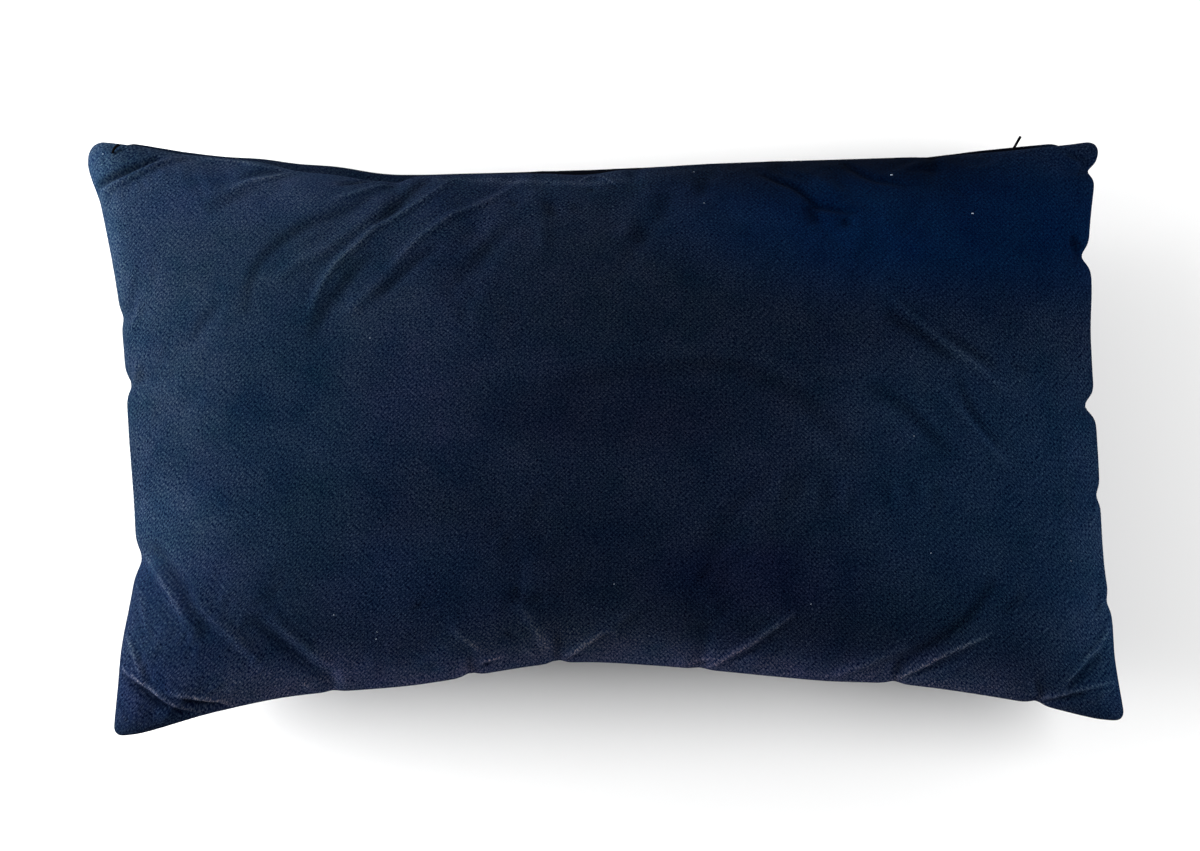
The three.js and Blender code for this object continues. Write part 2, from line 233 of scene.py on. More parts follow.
def notch_depth(side, at, length):
    return sum(
        row["notch"] * MM * bell((at - row["at"]) * length, row["width"] * MM) for row in PUCKERS[side]
    )


def plan(u, v):
    """The plan of both panels: the four sides blended across the inside, with the notches next to them."""
    low, high = np.zeros_like(u), np.ones_like(u)
    u_, v_ = u[..., None], v[..., None]
    (bottom, up), (top, down) = seam_point("bottom", u), seam_point("top", u)
    (left, right_way), (right, left_way) = seam_point("left", v), seam_point("right", v)
    point = bottom * (1 - v_) + top * v_ + left * (1 - u_) + right * u_
    for side, share in (("bottom", 1 - v_), ("top", v_)):
        point -= seam_point(side, low)[0] * (1 - u_) * share + seam_point(side, high)[0] * u_ * share
    for side, at, way, gap in (
        ("bottom", u, up, v * WIDTH), ("top", u, down, (1 - v) * WIDTH),
        ("left", v, right_way, u * LENGTH), ("right", v, left_way, (1 - u) * LENGTH),
    ):
        length = LENGTH if at is u else WIDTH
        inset = notch_depth(side, at, length) * bell(gap, NOTCH_REACH)
        inset += SEAM_GROOVE * np.exp(-gap / GROOVE_REACH)
        point += inset[..., None] * way
    rim = smooth_rows(u, RIM["at"], RIM["set_in"]) * MM * bell((1 - v) * WIDTH, NOTCH_REACH)
    return point + rim[..., None] * down


def seam_height(u, v):
    droop = abs(2 * u - 1) ** DROOP_FADE_ALONG * abs(2 * v - 1) ** DROOP_FADE_ACROSS
    return SEAM_HEIGHT - EAR_DROOP * droop


def swell(u, v):
    """How far the filling lifts a panel, from 0 at the seam to 1 in the middle."""
    along = 1 - abs(2 * u - 1) ** FULLNESS_ALONG
    across = 1 - abs(2 * v - 1) ** FULLNESS_ACROSS
    return (along * across) ** EDGE_ROLL


def pucker_depth(u, v):
    from_seam = dict(top=(1 - v) * WIDTH, bottom=v * WIDTH, left=u * LENGTH, right=(1 - u) * LENGTH)
    depth = np.zeros_like(u)
    for side, rows in PUCKERS.items():
        for row in rows:
            beside = (u - row["at"]) * LENGTH if side in ("top", "bottom") else (v - row["at"]) * WIDTH
            inside = from_seam[side] / (row["reach"] * MM)
            sink = row["sink"] * MM * bell(beside, row["width"] * MM)
            depth += sink * inside * np.exp((1 - inside**2) / 2)
    return depth


def front_crown(u, v):
    point = plan(u, v)
    lift = FRONT_CROWN * swell(u, v) - pucker_depth(u, v)
    for row in SETTLING.values():
        across = bell(point[..., 0] - row["x"] * MM, row["reach_x"] * MM)
        lift += row["rise"] * MM * across * bell(point[..., 1] - row["y"] * MM, row["reach_y"] * MM)
    lift = np.where(from_edge(u, v) > 0, np.maximum(lift, LEAST_THICKNESS / 2), 0)
    return np.dstack((point, seam_height(u, v) + lift))


def back_crown(u, v):
    point = plan(u, v)
    roll = CLOSING_ROLL
    out = smooth_rows(u, roll["at"], roll["out"]) * MM * eased(np.minimum(u, 1 - u), 0, roll["end_fade"])
    point[..., 1] += out * np.sin(math.pi * np.minimum((1 - v) / roll["height"], 1)) ** 2
    fall = np.maximum(BACK_CROWN * swell(u, v) - pucker_depth(u, v), LEAST_THICKNESS / 2)
    fall = np.where(from_edge(u, v) > 0, fall, 0)
    return np.dstack((point, np.maximum(seam_height(u, v) - fall, 0)))


def grid_shares(cells):
    even = np.linspace(0, 1, cells + 1)
    return (1 - EDGE_CLUSTERING) * even + EDGE_CLUSTERING * (1 - np.cos(math.pi * even)) / 2


CENTRING = np.array((-0.2, -0.18, 0)) * MM


def crowns(u, v):
    """Both panels, moved as the solid is to centre it on its own box."""
    return front_crown(u, v) - CENTRING, back_crown(u, v) - CENTRING


fine = np.meshgrid(grid_shares(CELLS_ALONG), grid_shares(CELLS_ACROSS))
front, back = crowns(*fine)


def finished(mesh, name):
    """The mesh of a bmesh, which is freed."""
    data = bpy.data.meshes.new(name)
    mesh.to_mesh(data)
    mesh.free()
    return data


def panel(points, shares, is_back, step=1, painted_light_and_shade=None):
    """A grid of cells bent to the points, with the cloth's own flat lengths as its UV map, in metres."""
    u, v = shares
    across, along = (count - 1 for count in u.shape)
    mesh = bmesh.new()
    bmesh.ops.create_grid(mesh, x_segments=along // step, y_segments=across // step, size=0.5)
    if step == 2:
        for edge in [edge for edge in mesh.edges if edge.is_boundary]:
            bmesh.utils.edge_split(edge, edge.verts[0], 0.5)
    cloth = mesh.loops.layers.uv.new("cloth")
    light = mesh.verts.layers.float_vector.new("painted_light_and_shade")
    # the painted light and shade of each point, which the velvet's colour is multiplied by
    for vert in mesh.verts:
        i = round((vert.co.x + 0.5) * along)
        j = round((vert.co.y + 0.5) * across)
        vert.co = points[j, i]
        vert[light] = (1, 1, 1) if painted_light_and_shade is None else painted_light_and_shade[j, i]
        for loop in vert.link_loops:
            loop[cloth].uv = (u[j, i] * LENGTH, v[j, i] * WIDTH - is_back * BACK_PANEL_BESIDE)
    if is_back:
        bmesh.ops.reverse_faces(mesh, faces=mesh.faces)
    return finished(mesh, "panel")


def sewn(name, *panels):
    """One smooth mesh of the panels, joined where their edges meet."""
    mesh = bmesh.new()
    for data in panels:
        mesh.from_mesh(data)
        bpy.data.meshes.remove(data)
    bmesh.ops.remove_doubles(mesh, verts=mesh.verts, dist=SEWN_WITHIN)
    for face in mesh.faces:
        face.smooth = True
    return finished(mesh, name)


# Folds of the front panel. Each route is read off the photograph, in pixels of its frame, and thrown
# along the line of sight onto the crown. `rise` is the height of a ridge, or below zero the depth of a
# trough, and `width` half its breadth, both in millimetres. `tone` is light and shade painted into the
# pile along it: a painted highlight on a ridge, painted shade in a trough.
FOLDS = {
    "upper left ear crease": dict(rise=-3.7, width=2.2, tone=-0.48, route=(
        (96, 189), (108, 179), (121, 172), (135, 166), (149, 161), (160, 157))),
    "upper left ear lip": dict(rise=2.1, width=2.2, tone=0.26, route=(
        (101, 193), (114, 184), (128, 177), (148, 168), (168, 161), (187, 158))),
    "rim lip": dict(rise=1.3, width=1.6, tone=0.6, route=(
        (203, 159), (224, 161), (244, 163), (265, 167), (285, 170))),
    "first ridge": dict(rise=1.2, width=2.3, tone=0.6, route=(
        (228, 189), (250, 181), (271, 177), (291, 173), (316, 171.5), (336, 172.5), (357, 174), (375, 177))),
    "first trough": dict(rise=-0.9, width=3, tone=-0.2, route=((240, 178), (262, 172), (285, 171))),
    "trough under the first ridge": dict(rise=-0.9, width=5, tone=-0.16, route=(
        (207, 212), (224, 203), (250, 191.5), (268, 186))),
    "dark lens": dict(rise=-1.6, width=2.4, tone=-0.28, route=(
        (338, 184), (355, 182), (375, 181.5), (392, 182))),
    "second ridge": dict(rise=1.2, width=2.2, tone=0.5, route=(
        (330, 199), (355, 191.5), (377, 185.5), (396, 181.5), (410, 179.5))),
    "long arc trough": dict(rise=-1.4, width=4, tone=-0.24, route=(
        (392, 186), (357, 204), (336, 214), (316, 221), (295, 233), (277, 247), (262, 262), (254, 277),
        (250, 294), (249, 316))),
    "long arc ridge": dict(rise=1.4, width=4.5, tone=0.14, route=(
        (388, 202), (371, 216), (353, 230.5), (336, 243), (320, 254), (300, 262), (285, 272), (276, 284))),
    "deep trough": dict(rise=-2, width=4, tone=-0.36, route=(
        (430, 178), (421, 183), (408, 193), (395, 206), (384, 217), (374, 222))),
    "long ridge": dict(rise=1.8, width=2.4, tone=0.5, route=(
        (454, 179), (439, 189), (421, 201), (406, 210), (391, 218), (373, 229), (357, 245), (340, 260),
        (326, 278), (316, 298), (310, 314))),
    "trough beside it": dict(rise=-1.3, width=4.4, tone=-0.34, route=(
        (378, 250), (363, 263), (351, 276), (342, 289), (332, 301), (324, 315), (316, 329), (311, 342))),
    "inner ridge": dict(rise=1.6, width=2.4, tone=0.45, route=(
        (520, 181), (506, 189), (489, 198), (474, 205), (454, 214), (437, 226), (419, 239), (402, 256),
        (387, 272))),
    "inner ridge, lower": dict(rise=1.1, width=4, tone=0.14, route=(
        (387, 276), (373, 290), (357, 304), (345, 315))),
    "inner trough": dict(rise=-1.4, width=3.4, tone=-0.32, route=(
        (440, 245), (421, 258), (406, 271), (391, 285), (376, 297))),
    "last trough": dict(rise=-1.2, width=7, tone=-0.12, route=(
        (519, 214), (510, 228), (491, 244), (476, 262), (456, 279))),
    "last ridge": dict(rise=0.8, width=5, tone=0.08, route=((497, 222), (480, 243), (462, 262))),
    "faint trough": dict(rise=-0.9, width=4.5, tone=-0.12, route=(
        (223, 301), (210, 316), (200, 330), (196, 345))),
    "left edge, upper fold": dict(rise=1.7, width=3.5, tone=0.19, route=((137, 305), (138, 318), (131, 330))),
    "left edge, lower fold": dict(rise=1.7, width=3.5, tone=0.19, route=((139, 360), (137, 374), (132, 386))),
    "gather one": dict(rise=-1.2, width=3.5, tone=-0.28, route=((545, 182), (550, 183), (555, 183))),
    "gather two": dict(rise=-1.6, width=4, tone=-0.28, route=((548, 199), (552, 208), (556, 217))),
    "gather three": dict(rise=-0.9, width=2.6, tone=-0.28, route=((585, 188), (590, 188), (596, 189))),
    "gather four": dict(rise=-1.2, width=3.5, tone=-0.2, route=((509, 203), (514, 201), (519, 199))),
    "gather five": dict(rise=-0.6, width=3, tone=-0.16, route=((572, 203), (577, 208), (580, 213))),
    "gather six": dict(rise=-0.9, width=5, tone=-0.2, route=((636, 243), (642, 235), (648, 226))),
    "gather seven": dict(rise=-0.7, width=5, tone=-0.16, route=((667, 190), (665, 206), (661, 221))),
    "gather eight": dict(rise=-0.7, width=5, tone=-0.2, route=((704, 174), (703, 183), (699, 196))),
    "gather, light": dict(rise=0.8, width=4, tone=0.11, route=((541, 220), (542, 235), (543, 250))),
    "gather, light patch": dict(rise=0.8, width=3, tone=0.19, route=((530, 198), (535, 192), (545, 196))),
    # a painted highlight along the front's top rim, with no relief under it
    "top rim, painted highlight": dict(rise=0, width=6, tone=0.5, route=(
        (430, 180), (480, 179.5), (530, 181), (580, 183), (640, 178))),
    "crisp gather one": dict(rise=1.7, width=1.6, tone=0.63, route=((580, 181.5), (587, 178.5), (595, 176))),
    "crisp gather two": dict(rise=1.7, width=1.6, tone=0.58, route=((597, 176), (607, 179), (618, 183.5))),
    "crisp gather, hollow": dict(rise=-0.9, width=2, tone=-0.28, route=((604, 181), (612, 184), (618, 188))),
    "gather, soft light": dict(rise=0.8, width=4, tone=0.1, route=((635, 220), (626, 230), (617, 240))),
    "upper right crease": dict(rise=-2.5, width=2.6, tone=-0.48, route=(
        (760, 172), (771, 177), (784, 181.5), (797, 186.5), (807, 194), (817, 203), (833, 207.5),
        (859, 213))),
    "crease, hollow one": dict(rise=-1.6, width=4, tone=-0.44, route=((808, 203), (813, 212), (817, 225))),
    "crease, hollow two": dict(rise=-1.2, width=3.2, tone=-0.36, route=((841, 219), (846, 222), (852, 225))),
    "crease, light": dict(rise=1.3, width=5, tone=0.14, route=((812, 178), (828, 186), (843, 197))),
    "second upper crease": dict(rise=-1.6, width=2.6, tone=-0.32, route=(
        (843, 162), (858, 171), (874, 179), (894, 183), (910, 188))),
    "far crease one": dict(rise=-0.9, width=3, tone=-0.16, route=((906, 171), (925, 169), (944, 168))),
    "far crease two": dict(rise=-0.7, width=3, tone=-0.12, route=((949, 184), (960, 190), (970, 196))),
    "faint right ridge": dict(rise=0.8, width=5, tone=0.05, route=(
        (883, 232), (919, 245), (957, 258), (995, 270))),
    "right ridge": dict(rise=1.7, width=2.2, tone=0.6, route=(
        (893, 298), (910, 315), (925, 327.5), (940, 340), (951, 348), (964, 358), (979, 369), (992, 381),
        (1005, 392))),
    "right ridge, lower trough": dict(rise=-1.6, width=3.4, tone=-0.36, route=(
        (885, 313), (905, 325), (923, 335), (938, 348), (955, 360))),
    "right ridge, upper trough": dict(rise=-1.6, width=2.8, tone=-0.24, route=(
        (940, 330), (964, 346), (980, 357), (996, 368))),
    "right ridge, last trough": dict(rise=-0.9, width=2.8, tone=-0.2, route=(
        (1008, 362), (1018, 367), (1029, 372))),
    "right pair, ridge": dict(rise=1.4, width=2.5, tone=0.36, route=(
        (938, 386), (951, 402), (966, 418), (982, 437), (997, 456), (1010, 470))),
    "right pair, trough": dict(rise=-1.6, width=3, tone=-0.2, route=(
        (958, 378), (964, 396), (972, 415), (985, 433), (998, 448))),
    "middle right trough": dict(rise=-1.6, width=4.5, tone=-0.2, route=(
        (868, 385), (887, 396), (905, 407), (921, 425), (938, 443), (950, 458))),
    "middle right ridge": dict(rise=1.3, width=5, tone=0.11, route=(
        (884, 404), (900, 420), (916, 437), (930, 455))),
    "middle right outer ridge": dict(rise=1, width=5, tone=0.1, route=(
        (905, 391), (925, 409), (941, 427), (956, 443))),
    "middle arc": dict(rise=-1.4, width=6, tone=-0.2, route=(
        (548, 388), (589, 379), (620, 374), (663, 370), (700, 366), (740, 368), (766, 377), (797, 393),
        (830, 421), (856, 449), (870, 468))),
    "middle arc, upper ridge": dict(rise=0.8, width=6, tone=0.08, route=(
        (660, 358), (700, 353), (740, 356), (790, 372), (830, 398))),
    "middle arc, lower ridge": dict(rise=1, width=4.5, tone=0.1, route=((800, 420), (824, 441), (844, 463))),
    "ripple one": dict(rise=0.6, width=3.2, tone=0.1, route=((780, 470), (780, 487), (779, 504))),
    "ripple two": dict(rise=-0.4, width=3.2, tone=-0.1, route=((799, 470), (799, 487), (798, 504))),
    "ripple three": dict(rise=0.6, width=3.2, tone=0.1, route=((817, 476), (817, 492), (816, 508))),
    "ripple four": dict(rise=-0.4, width=3.2, tone=-0.1, route=((830, 476), (831, 492), (831, 508))),
    "ripple five": dict(rise=0.7, width=3.2, tone=0.11, route=((846, 476), (847, 495), (846, 514))),
    "ripple six": dict(rise=-0.4, width=3.2, tone=-0.1, route=((886, 480), (888, 495), (887, 510))),
    "ripple seven": dict(rise=0.7, width=3.2, tone=0.11, route=((896, 478), (900, 495), (902, 512))),
    "ripple eight": dict(rise=-0.5, width=3.2, tone=-0.12, route=((911, 480), (914, 493), (914, 508))),
    "ripple nine": dict(rise=0.7, width=2.3, tone=0.15, route=((925, 478), (926, 490), (926, 502))),
    "ripple ten": dict(rise=-0.5, width=3.2, tone=-0.12, route=((936, 480), (938, 500), (936, 520))),
    "right edge hollow": dict(rise=-3.1, width=2.6, tone=-0.48, route=(
        (1071, 234), (1074, 243), (1080, 253))),
    "right edge step": dict(rise=1.3, width=2.2, tone=0.32, route=((1089, 527), (1093, 517), (1098, 505))),
    "upper right ear crease": dict(rise=-2.5, width=2.6, tone=-0.28, route=(
        (1091, 175), (1088, 166), (1080, 158), (1066, 151))),
    "outer lower left ridge": dict(rise=1.2, width=2, tone=0.75, route=(
        (141, 550), (150, 563), (159, 578), (167, 589), (174, 602), (180, 612), (187, 625))),
    "lower left trough": dict(rise=-1.6, width=4.6, tone=-0.32, route=(
        (153, 546), (167, 566), (178, 582), (188, 600), (198, 616), (204, 628), (208, 640))),
    "lower left ridge": dict(rise=1.7, width=4, tone=0.2, route=(
        (193, 595), (203, 609), (217, 621), (229, 631), (245, 647), (260, 661))),
    "second lower left trough": dict(rise=-1.3, width=4.2, tone=-0.24, route=(
        (253, 619), (273, 637), (295, 655), (315, 671), (326, 682))),
    "second lower left ridge": dict(rise=1.5, width=3.5, tone=0.26, route=(
        (270, 616), (289, 633), (307, 647), (325, 659), (338, 669))),
    "left edge ridge one": dict(rise=1.2, width=2, tone=0.4, route=(
        (137, 584), (141, 600), (144, 617), (149, 635))),
    "left edge ridge two": dict(rise=1.4, width=2, tone=0.8, route=(
        (126, 634), (131, 647), (137, 663), (143, 679))),
    "lower left ear ridge": dict(rise=2.3, width=1.9, tone=1.3, route=(
        (121, 667), (132, 677), (144, 685), (158, 695), (170, 703), (185, 708), (201, 712), (212, 714))),
    "lower left ear inner ridge": dict(rise=1.8, width=1.9, tone=1.3, route=(
        (168, 692), (189, 697), (209, 700), (221, 702), (236, 706))),
    "lower left ear wedge": dict(rise=-2.5, width=2.6, tone=-0.8, route=(
        (182, 700), (201, 704.5), (217, 706.5), (230, 708))),
    "lower left ear valley": dict(rise=-2.2, width=3, tone=-0.5, route=(
        (123, 675), (140, 689), (156, 701), (175, 710), (200, 715.5))),
    "lower left ear tip": dict(rise=0.8, width=1.8, tone=0.38, route=((119, 710), (123, 716), (127, 722))),
    "bottom lip": dict(rise=1, width=1.8, tone=0.6, route=((302, 681), (306, 686), (312, 690))),
    "bottom ridge one": dict(rise=1.4, width=2.2, tone=0.75, route=(
        (453, 628), (463, 637), (473, 644), (482, 653))),
    "bottom curl": dict(rise=1.5, width=1.8, tone=0.8, route=(
        (480, 663), (486, 660), (495, 658), (509, 657))),
    "bottom curl, hole": dict(rise=-1.9, width=2, tone=-0.48, route=((482, 666), (485, 666), (489, 665.5))),
    "bottom hollow one": dict(rise=-1.6, width=4, tone=-0.24, route=((500, 634), (510, 639), (517, 645))),
    "bottom spot": dict(rise=1.3, width=2.2, tone=0.38, route=((521, 647), (527, 651), (534, 656))),
    "bottom ridge two": dict(rise=1.6, width=2.8, tone=0.6, route=(
        (521, 606), (530, 620), (538, 632), (543, 642), (546, 653))),
    "bottom hollow two": dict(rise=-1.2, width=4, tone=-0.24, route=((513, 588), (516, 597), (519, 606))),
    "bottom hollow three": dict(rise=-0.9, width=5, tone=-0.16, route=((522, 600), (535, 602), (548, 603))),
    "bottom ridge three": dict(rise=1.4, width=2, tone=0.95, route=(
        (566, 659), (577, 650), (589, 642), (599, 635), (608, 630))),
    "bottom ridge three, hook": dict(rise=1, width=2.2, tone=0.4, route=((606, 630), (614, 632), (622, 636))),
    "bottom ridge three, beyond": dict(rise=0.8, width=3, tone=0.14, route=(
        (612, 626), (622, 620), (631, 614))),
    "bottom wedge": dict(rise=-1.6, width=2, tone=-0.32, route=((568, 659), (573, 657), (580, 655))),
    "bottom edge fold": dict(rise=1, width=1.6, tone=0.75, route=((676, 663), (696, 661), (709, 657))),
    "bottom ridge four": dict(rise=1.4, width=2, tone=0.95, route=(
        (707, 667), (722, 660), (736, 651.5), (751, 644), (766, 634), (781, 623), (797, 611.5))),
    "bottom ridge four, wedge": dict(rise=-1.2, width=3, tone=-0.16, route=(
        (728, 664), (745, 656), (760, 649))),
    "bottom streak": dict(rise=-0.7, width=3, tone=-0.2, route=((697, 585), (705, 575), (713, 565))),
    "bottom hollow four": dict(rise=-0.6, width=5, tone=-0.12, route=((708, 625), (709, 636), (710, 648))),
    "bottom hollow five": dict(rise=-0.6, width=3, tone=-0.16, route=((416, 604), (419, 607), (421, 610))),
    "lower right first ridge": dict(rise=1.3, width=3.4, tone=0.3, route=(
        (834, 676), (850, 670), (863, 666), (881, 658), (898, 652), (910, 646))),
    "lower right trough": dict(rise=-1.8, width=4.2, tone=-0.36, route=(
        (886, 675), (894, 669), (913, 656), (935, 645), (953, 632), (966, 621), (981, 601), (994, 579))),
    "lower right ridge": dict(rise=1.3, width=1.8, tone=1.2, route=(
        (896, 679), (909, 673), (922, 667), (935, 660), (948, 654), (961, 648), (977, 640), (993, 632))),
    "lower right under trough": dict(rise=-0.9, width=2.4, tone=-0.2, route=(
        (904, 677), (922, 672), (940, 664.5))),
    "lower right far trough": dict(rise=-1.2, width=3.4, tone=-0.16, route=(
        (1000, 617), (1013, 604), (1023, 594))),
    "lower right lip": dict(rise=0.8, width=3, tone=0.24, route=((955, 688), (975, 692), (990, 697))),
    "right edge wedge": dict(rise=-1.9, width=2.6, tone=-0.4, route=((1108, 597), (1109, 604), (1106, 613))),
    "right edge wedge, lip": dict(rise=1.7, width=2, tone=0.38, route=(
        (1106, 594), (1103, 606), (1098, 616))),
    "lower right edge ridge": dict(rise=1.7, width=2, tone=0.7, route=(
        (1111, 625), (1105, 636), (1096, 649), (1085, 660), (1072, 675), (1059, 691))),
    "lower right edge trough": dict(rise=-1.9, width=2.6, tone=-0.32, route=(
        (1101, 655), (1092, 666), (1081, 676), (1070, 685), (1063, 692))),
    "lower right ear ridge": dict(rise=1.5, width=1.9, tone=0.8, route=(
        (1037, 700), (1051, 697), (1066, 693), (1083, 689), (1101, 684), (1117, 681))),
    "lower right ear trough": dict(rise=-1.9, width=2.6, tone=-0.32, route=(
        (1046, 702), (1066, 699.5), (1086, 695))),
    "lower right ear small ridge": dict(rise=1.3, width=1.8, tone=0.38, route=(
        (1098, 700), (1105, 692), (1116, 685))),
}
FOLD_END_SHARE = 0.12
FOLD_STEP = 1.5 * MM
FOLD_REACH = 3  # a fold has faded out at this many times its width
FOLD_FADE = 0.012
CREST_SHARE = 0.66  # the painted highlight on a crest is narrower than the crest
# how strongly the folds' painted light and shade change the colour
TONE_POWER = 1.45


def sight_line(pixel):
    """The direction from the camera through a pixel of the photograph's frame."""
    focal = camera_data.lens / SENSOR * PHOTO_WIDE
    look = Vector((pixel[0] - PHOTO_WIDE / 2, PHOTO_HIGH / 2 - pixel[1], -focal))
    return camera.matrix_world.to_3x3() @ look.normalized()


def smooth_route(points, step):
    """Even steps along a smooth curve through a few points."""
    points = np.array(points)
    gaps = np.linalg.norm(np.diff(points, axis=0), axis=1)
    at = np.concatenate(([0], np.cumsum(gaps)))
    steps = np.linspace(0, at[-1], max(int(at[-1] / step), 4))
    return np.stack([smooth_rows(steps, at, points[:, k]) for k in range(points.shape[1])], axis=1)


def thrown_on(surface, route):
    """A route in pixels, thrown along the line of sight onto a surface."""
    found = []
    for pixel in route:
        hit = surface.ray_cast(camera.location, sight_line(pixel))[0]
        if hit is not None:
            found.append(hit)
    return found


def relief_and_tone(points, surface):
    relief, tone = np.zeros(points.shape[:2]), np.zeros(points.shape[:2])
    for row in FOLDS.values():
        route = thrown_on(surface, row["route"])
        if len(route) < 2:
            continue
        line = smooth_route(route, FOLD_STEP)
        width = row["width"] * MM
        low, high = line.min(0) - FOLD_REACH * width, line.max(0) + FOLD_REACH * width
        near = ((points >= low) & (points <= high)).all(-1)
        gaps = np.linalg.norm(points[near][:, None] - line[None], axis=2)
        fullness = np.clip(np.sin(math.pi * np.arange(len(line)) / (len(line) - 1)), 0, 1)[gaps.argmin(1)]
        strength = FOLD_END_SHARE + (1 - FOLD_END_SHARE) * np.sqrt(fullness)
        gap = gaps.min(1)
        relief[near] += row["rise"] * MM * strength * bell(gap, width)
        tone_width = width * (CREST_SHARE if row["tone"] > 0 else 1)
        tone[near] += row["tone"] * strength * bell(gap, tone_width)
    return relief, tone


def surface_of(data):
    mesh = bmesh.new()
    mesh.from_mesh(data)
    surface = BVHTree.FromBMesh(mesh)
    mesh.free()
    return surface


crown_data = panel(front, fine, is_back=False)
crown_surface = surface_of(crown_data)
bpy.data.meshes.remove(crown_data)


def folded(points, shares):
    """The front panel with its folds, and the light and shade painted along them."""
    normals = np.cross(np.gradient(points, axis=1), np.gradient(points, axis=0))
    normals /= np.linalg.norm(normals, axis=2, keepdims=True)
    relief, tone = relief_and_tone(points, crown_surface)
    relief *= eased(from_edge(*shares), 0, FOLD_FADE)
    return points + normals * relief[..., None], tone


# The cover settles. A coarse copy of both panels, cut a little larger than the filling needs, is blown
# up by the pressure of the fibre while its seam is held. The wrinkles that it finds, without its slow
# swelling, are added to the fine panels.
SETTLE_ALONG, SETTLE_ACROSS = 120, 70
SETTLE_FRAMES = 12
CLOTH_SLACK = 0.016
CLOTH = dict(
    quality=6, mass=0.0003, tension_stiffness=30, compression_stiffness=30, shear_stiffness=15,
    bending_stiffness=0.005, tension_damping=1, compression_damping=1, shear_damping=1,
    bending_damping=0.1, air_damping=0, use_pressure=True, uniform_pressure_force=4, pin_stiffness=1,
    shrink_min=-CLOTH_SLACK,
)
SWELLING_PASSES = 30
WRINKLE_LIMIT = 8 * MM
WRINKLE_SHARE = {"front": 0.5, "back": 0.8}
WRINKLE_FADE = 0.02
CLOSING_HELD = (0.07, 0.16)  # the stiff tape of the closing holds this strip of the back smooth


def settled(points_of_panels, shares):
    """How far each point of the coarse panels has moved once the cloth has settled."""
    data = sewn("settling_sheet", *(
        panel(points, shares, is_back) for points, is_back in zip(points_of_panels, (False, True))
    ))
    before = np.empty(len(data.vertices) * 3)
    data.vertices.foreach_get("co", before)
    before = before.reshape(-1, 3)
    lookup = KDTree(len(before))
    for index, place in enumerate(before):
        lookup.insert(place, index)
    lookup.balance()
    indices = [
        np.array([lookup.find(place)[1] for place in points.reshape(-1, 3)]).reshape(points.shape[:2])
        for points in points_of_panels
    ]
    sheet = placed("settling_sheet", data)
    seam = sheet.vertex_groups.new(name="seam")
    seam.add([int(index) for index in np.unique(indices[0][from_edge(*shares) == 0])], 1, "REPLACE")
    cloth = sheet.modifiers.new("settling", "CLOTH")
    for name, value in CLOTH.items():
        setattr(cloth.settings, name, value)
    cloth.settings.vertex_group_mass = "seam"
    cloth.settings.effector_weights.gravity = 0
    cloth.collision_settings.use_collision = False
    for frame_number in range(1, SETTLE_FRAMES + 1):
        bpy.context.scene.frame_set(frame_number)
    result = sheet.evaluated_get(bpy.context.evaluated_depsgraph_get()).to_mesh()
    after = np.empty(len(before) * 3)
    result.vertices.foreach_get("co", after)
    moved = after.reshape(-1, 3) - before
    bpy.data.objects.remove(sheet)
    bpy.data.meshes.remove(data)
    bpy.context.scene.frame_set(1)
    return [moved[index] for index in indices]


def wrinkles(moved):
    """The quick part of a movement: what is left of it when its average round about is taken away."""
    slow = moved.copy()
    for _ in range(SWELLING_PASSES):
        for axis in (0, 1):
            ends = [(1, 1) if k == axis else (0, 0) for k in range(3)]
            wide = np.pad(slow, ends, mode="edge")
            before, after = (wide.take(range(k, k + slow.shape[axis]), axis) for k in (0, 2))
            slow = slow / 2 + (before + after) / 4
    quick = moved - slow
    size = np.linalg.norm(quick, axis=2, keepdims=True)
    return quick * WRINKLE_LIMIT * np.tanh(size / WRINKLE_LIMIT) / np.maximum(size, 1e-9)


def resampled(values, axis, cells):
    """Values of a coarse grid read along a smooth curve at the shares of more cells."""
    known = grid_shares(values.shape[axis] - 1)
    return np.apply_along_axis(lambda row: smooth_rows(grid_shares(cells), known, row), axis, values)


# Painted light and shade along the seam. Behind the top rim the back panel shows as a lip in painted
# shade, darkest at the closing, where it also stands for the dark zip tape. The front's top rim has a
# painted highlight, with painted shade along its upper right, and both panels have a painted sheen
# along the lower rim. Lengths are in millimetres, the rest shares of the side.
# painted shade on the back panel's lip, darkest at the closing, where it also stands for the dark zip tape
CLOSING_SHADE = dict(lip=0.38, closing=0.9, fades=(19, 32), starts=(0.31, 0.39), ends=(0.03, 0.08))
# a painted highlight along the front's top rim, weaker towards the right
RIM_LIGHT = dict(left=0.9, right=0.35, falls=(0.5, 0.62), width=1.4)
# painted shade along the upper right of the front's top rim
UPPER_RIGHT_RIM_SHADE = dict(depth=0.74, width=30, starts=(0.5, 0.66), ends=(0.04, 0.18))
# a painted sheen along the lower rim of both panels
LOWER_RIM_SHEEN = dict(light=1.9, width=24, narrower=9, narrows=(0.48, 0.62), ends=(0.04, 0.16))
PAINTED_HIGHLIGHT_GREYER = (1.3, 1, 0.7)  # painted highlights look greyer: red rises faster than the painted light, and blue slower


